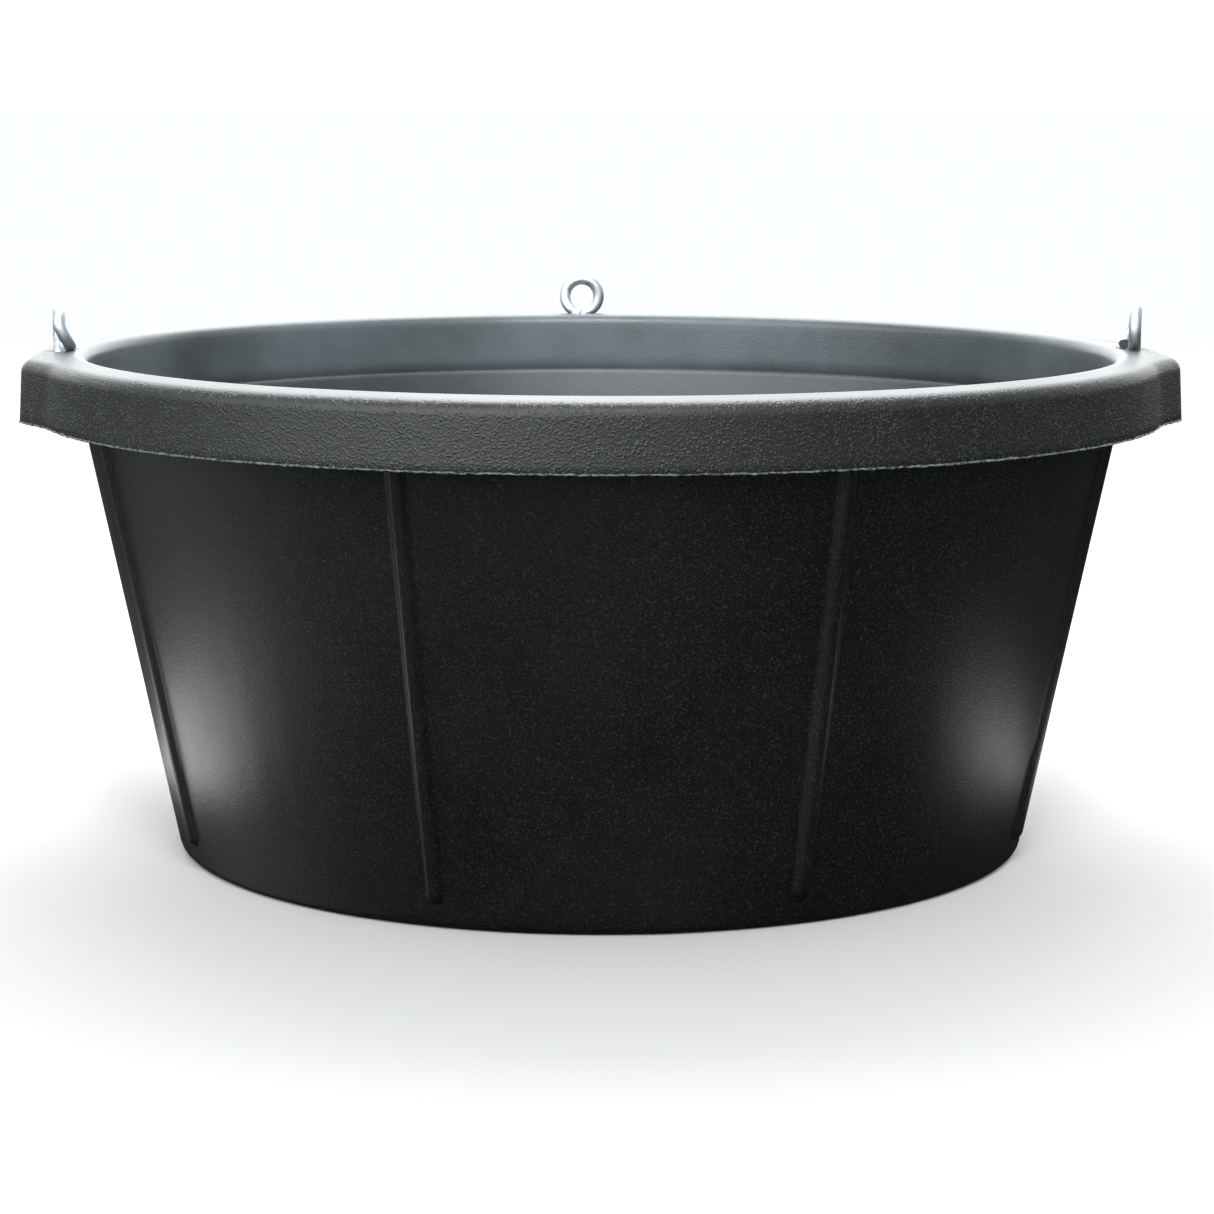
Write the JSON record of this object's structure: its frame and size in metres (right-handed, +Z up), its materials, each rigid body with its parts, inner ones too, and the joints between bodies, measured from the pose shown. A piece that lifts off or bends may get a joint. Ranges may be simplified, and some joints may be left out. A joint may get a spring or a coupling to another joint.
{
  "type": "rubber hanging feed pan",
  "caption": "Deep round rubber pan with a turned-down rim, ribs down its sloping wall and steel eye bolts through pads on the rim to hang it by.",
  "frame": {"origin": "centre of the flat underside", "axes": "+Z up out of the bowl, +X towards the right eye bolt, +Y towards the back eye bolt, the plain front of the rim is on -Y"},
  "size_m": [0.5484, 0.5434, 0.2606],
  "materials": {
    "rubber": "moulded satin with a pebbled rim",
    "zinc_plate": "bright zinc plate",
    "nylon": "natural nylon"
  },
  "bodies": {
    "pan": {"pan_body": "rubber", "washer_left": "zinc_plate", "washer_right": "zinc_plate", "washer_back": "zinc_plate"},
    "eye_left": {"eye_bolt_left": "zinc_plate", "lock_nut_left": "zinc_plate", "nylon_ring_left": "nylon"},
    "eye_right": {"eye_bolt_right": "zinc_plate", "lock_nut_right": "zinc_plate", "nylon_ring_right": "nylon"},
    "eye_back": {"eye_bolt_back": "zinc_plate", "lock_nut_back": "zinc_plate", "nylon_ring_back": "nylon"}
  },
  "joints": [
    {"name": "eye_left_swivel", "type": "hinge", "parent": "pan", "child": "eye_left", "pos_m": [-0.2605, 0, 0.239], "axis": [0, 0, 1], "continuous": true},
    {"name": "eye_right_swivel", "type": "hinge", "parent": "pan", "child": "eye_right", "pos_m": [0.2605, 0, 0.239], "axis": [0, 0, 1], "continuous": true},
    {"name": "eye_back_swivel", "type": "hinge", "parent": "pan", "child": "eye_back", "pos_m": [0, 0.2605, 0.239], "axis": [0, 0, 1], "continuous": true}
  ]
}
